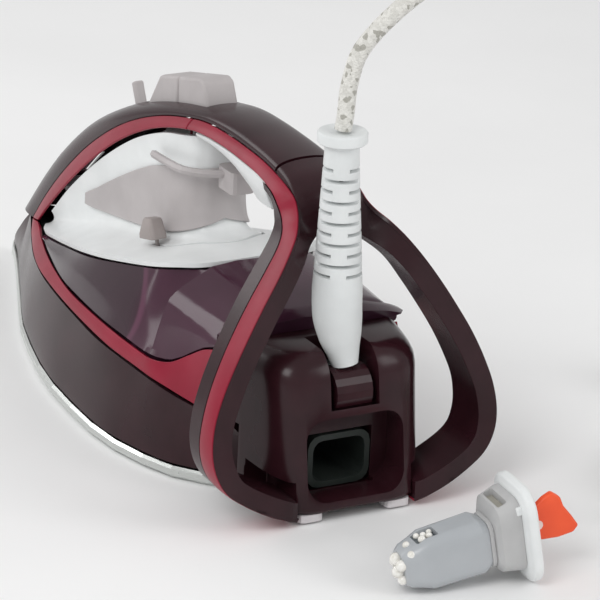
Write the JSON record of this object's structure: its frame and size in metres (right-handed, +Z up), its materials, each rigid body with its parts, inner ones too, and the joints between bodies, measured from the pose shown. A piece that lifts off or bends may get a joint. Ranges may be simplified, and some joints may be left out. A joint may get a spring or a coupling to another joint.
{
  "type": "steam iron",
  "caption": "Steam iron with its own water tank, a looped two-leg heel, a swivelling cord boot, a steam selector on the deck and an anti-scale collector beside it",
  "frame": {"origin": "on the flat underside of the soleplate, below the middle of the body", "axes": "+X towards the tip of the soleplate, +Y to the left of the iron, +Z up away from the ironing surface"},
  "size_m": [0.3978, 0.2664, 0.2194],
  "materials": {
    "soleplate": "satin, eloxed",
    "heater_casting": "as cast",
    "heating_element": "dull tube",
    "steam_chamber_lid": "rolled",
    "thermostat": "plain",
    "thermal_fuse": "sleeved",
    "heat_shield": "moulded phenolic",
    "shield_screw_front": "plain",
    "shield_screw_rear": "plain",
    "skirt": "deep burgundy gloss",
    "flank_band_left": "crimson gloss",
    "flank_band_right": "crimson gloss",
    "water_tank": "tinted translucent purple",
    "deck_cover": "white satin",
    "column_liner": "light grey fine texture",
    "grip_cheek_left": "white satin",
    "grip_cheek_right": "white satin",
    "grip_liner": "light grey fine texture",
    "handle_shell": "deep burgundy gloss",
    "trim_front_left": "crimson satin",
    "trim_front_right": "crimson satin",
    "trim_rear_left": "crimson satin",
    "trim_rear_right": "crimson satin",
    "heel_frame": "deep burgundy gloss",
    "heel_housing": "deep burgundy gloss",
    "heel_pad_left": "soft",
    "heel_pad_right": "soft",
    "collector_socket": "dark",
    "terminal_block": "moulded",
    "cord_boot": "white ribbed",
    "cord_swivel": "deep burgundy",
    "selector_ring": "moulded",
    "selector_knob": "warm grey",
    "spray_button": "light grey",
    "steam_boost_button": "light grey",
    "steam_lever": "light grey",
    "spray_nozzle": "black",
    "spray_pipe": "clear hose",
    "spray_pump": "moulded",
    "boost_pump": "moulded",
    "inlet_funnel": "moulded",
    "inlet_flap": "pale translucent pink",
    "trigger": "light grey",
    "collector_body": "grey satin",
    "collector_seal": "soft",
    "collector_collar": "grey",
    "collector_cap": "white satin",
    "collector_tag": "orange",
    "cord_tube": "cream braid with grey flecks",
    "cord_tail": "cream braid with grey flecks",
    "cord_coil": "cream braid with grey flecks",
    "coil_tie": "plain",
    "plug_body": "light grey",
    "plug_pin_left": "nickel plated",
    "plug_pin_right": "nickel plated"
  },
  "bodies": {
    "iron": {"soleplate": "soleplate", "heater_casting": "heater_casting", "heating_element": "heating_element", "steam_chamber_lid": "steam_chamber_lid", "thermostat": "thermostat", "thermal_fuse": "thermal_fuse", "heat_shield": "heat_shield", "shield_screw_front": "shield_screw_front", "shield_screw_rear": "shield_screw_rear", "skirt": "skirt", "flank_band_left": "flank_band_left", "flank_band_right": "flank_band_right", "water_tank": "water_tank", "deck_cover": "deck_cover", "column_liner": "column_liner", "grip_cheek_left": "grip_cheek_left", "grip_cheek_right": "grip_cheek_right", "grip_liner": "grip_liner", "handle_shell": "handle_shell", "trim_front_left": "trim_front_left", "trim_front_right": "trim_front_right", "trim_rear_left": "trim_rear_left", "trim_rear_right": "trim_rear_right", "heel_frame": "heel_frame", "heel_housing": "heel_housing", "heel_pad_left": "heel_pad_left", "heel_pad_right": "heel_pad_right", "collector_socket": "collector_socket", "terminal_block": "terminal_block", "spray_nozzle": "spray_nozzle", "spray_pipe": "spray_pipe", "spray_pump": "spray_pump", "boost_pump": "boost_pump", "inlet_funnel": "inlet_funnel", "cord_tube": "cord_tube", "cord_tail": "cord_tail", "cord_coil": "cord_coil", "coil_tie": "coil_tie", "plug_body": "plug_body", "plug_pin_left": "plug_pin_left", "plug_pin_right": "plug_pin_right"},
    "spray_button": {"spray_button": "spray_button"},
    "steam_boost_button": {"steam_boost_button": "steam_boost_button"},
    "steam_lever": {"steam_lever": "steam_lever"},
    "inlet_flap": {"inlet_flap": "inlet_flap"},
    "selector": {"selector_knob": "selector_knob", "selector_ring": "selector_ring"},
    "trigger": {"trigger": "trigger"},
    "boot": {"cord_boot": "cord_boot", "cord_swivel": "cord_swivel"},
    "collector": {"collector_body": "collector_body", "collector_seal": "collector_seal", "collector_collar": "collector_collar", "collector_cap": "collector_cap", "collector_tag": "collector_tag"}
  },
  "joints": [
    {"name": "spray_button_press", "type": "slide", "parent": "iron", "child": "spray_button", "axis": [0, 0, -1], "range_m": [0, 0.0025], "stiffness_N_per_m": 400, "springref_m": -0.002},
    {"name": "steam_boost_press", "type": "slide", "parent": "iron", "child": "steam_boost_button", "axis": [0, 0, -1], "range_m": [0, 0.0025], "stiffness_N_per_m": 400, "springref_m": -0.002},
    {"name": "steam_lever_slide", "type": "slide", "parent": "iron", "child": "steam_lever", "axis": [-0.8934, 0, 0.4493], "range_m": [0, 0.011]},
    {"name": "inlet_flap_hinge", "type": "hinge", "parent": "iron", "child": "inlet_flap", "pos_m": [0.1158, 0, 0.0561], "axis": [0, 1, 0], "range_deg": [0, 70]},
    {"name": "selector_turn", "type": "hinge", "parent": "iron", "child": "selector", "pos_m": [-0.01891, 0, 0.06952], "axis": [0.2402, 0, 0.9707], "range_deg": [0, 165]},
    {"name": "trigger_pull", "type": "hinge", "parent": "iron", "child": "trigger", "pos_m": [-0.008, 0, 0.102], "axis": [0, 1, 0], "range_deg": [0, 8], "stiffness_Nm_per_rad": 0.3, "springref_deg": -5.73},
    {"name": "boot_swing", "type": "hinge", "parent": "iron", "child": "boot", "pos_m": [-0.133, 0, 0.047], "axis": [0, -1, 0], "range_deg": [0, 50], "deforming": ["cord_tube"]},
    {"name": "collector_lift", "type": "slide", "parent": "iron", "child": "collector", "axis": [0, 0, 1], "range_m": [0, 0.05]}
  ]
}
